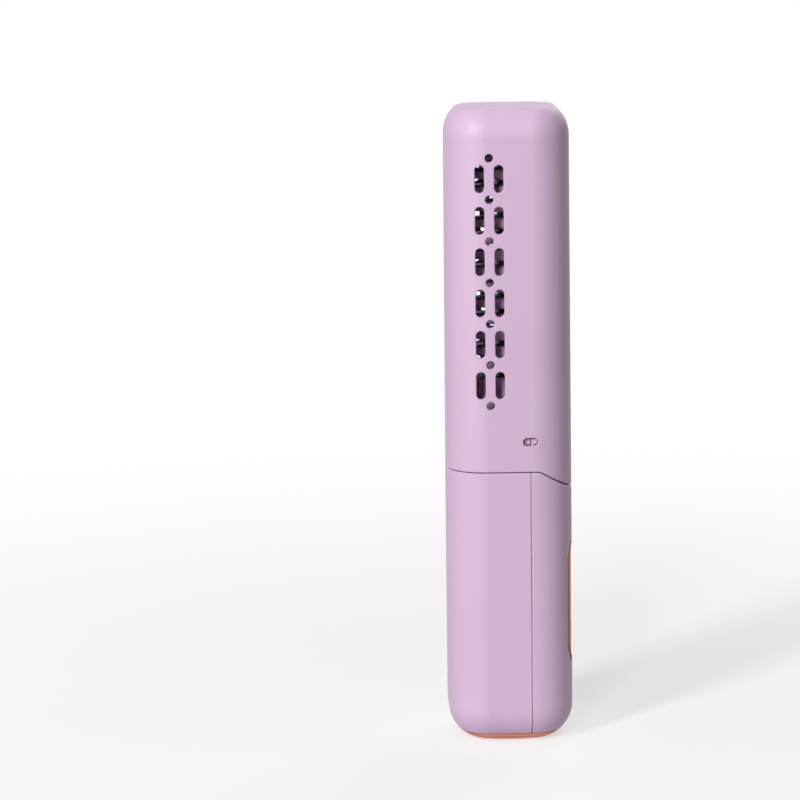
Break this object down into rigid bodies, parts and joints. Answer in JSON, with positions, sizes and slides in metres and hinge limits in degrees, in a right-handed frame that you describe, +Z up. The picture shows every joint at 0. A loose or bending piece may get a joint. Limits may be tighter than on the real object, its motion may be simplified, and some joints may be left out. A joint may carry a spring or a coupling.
{
  "type": "hot comb",
  "caption": "Cordless hot comb: slim upright handle with a heated comb guarded by plastic teeth, and a vented cap that slides off upwards.",
  "frame": {"origin": "centre of the foot, on the surface that the comb stands on", "axes": "+Z up along the handle to the crown of the cap, -X the side that the teeth point to, +X the thumb side with the panel and the keys, -Y and +Y the vented flanks"},
  "size_m": [0.034, 0.033, 0.173],
  "materials": {
    "shell_lilac": "satin soft-touch lilac",
    "rose_gold": "satin rose gold",
    "bright_rim": "polished rose gold",
    "black_anodised": "black anodised",
    "dark_plastic": "moulded black",
    "chip_black": "black epoxy",
    "board_green": "green solder mask",
    "ribbon_amber": "amber polyimide",
    "cell_wrap": "blue shrink wrap",
    "nickel": "nickel",
    "wire_red": "red insulation",
    "wire_white": "white insulation",
    "wire_black": "black insulation",
    "screw_steel": "zinc plated",
    "port_steel": "nickel plated",
    "spring_steel": "stainless spring steel",
    "lamp_white": "phosphor lamp",
    "light_pipe": "clear moulding",
    "plunger_plastic": "natural nylon",
    "ceramic_white": "alumina",
    "sensor_glass": "amber glass bead",
    "fuse_metal": "plain can"
  },
  "bodies": {
    "handle": {"front_shell": "shell_lilac", "back_shell": "shell_lilac", "base_plate": "rose_gold", "charging_port": "port_steel", "panel_frame": "bright_rim", "panel_plate": "rose_gold", "power_bezel": "bright_rim", "heater_comb": "black_anodised", "base_frame": "dark_plastic", "base_screws": "screw_steel", "charging_board": "board_green", "charging_ribbon": "ribbon_amber", "battery_cell": "cell_wrap", "battery_tabs": "nickel", "battery_leads": "wire_red", "chassis": "dark_plastic", "control_board": "board_green", "board_chips": "chip_black", "board_screws": "screw_steel", "indicator_leds": "lamp_white", "indicator_pipes": "light_pipe", "mode_switch": "dark_plastic", "power_switch": "dark_plastic", "ceramic_heater": "ceramic_white", "heater_clip": "spring_steel", "heat_sensor": "sensor_glass", "sensor_leads": "wire_black", "thermal_fuse": "fuse_metal", "heater_leads": "wire_white"},
    "cap": {"cap_shell": "shell_lilac"},
    "power_key": {"power_button": "rose_gold", "power_plunger": "plunger_plastic"},
    "mode_key": {"mode_button": "rose_gold", "mode_plunger": "plunger_plastic"}
  },
  "joints": [
    {"name": "cap_slide", "type": "slide", "parent": "handle", "child": "cap", "axis": [0, 0, 1], "range_m": [0, 0.1]},
    {"name": "power_press", "type": "slide", "parent": "handle", "child": "power_key", "axis": [-1, 0, 0], "range_m": [0, 0.0004], "stiffness_N_per_m": 700},
    {"name": "mode_press", "type": "slide", "parent": "handle", "child": "mode_key", "axis": [-1, 0, 0], "range_m": [0, 0.0004], "stiffness_N_per_m": 700}
  ]
}
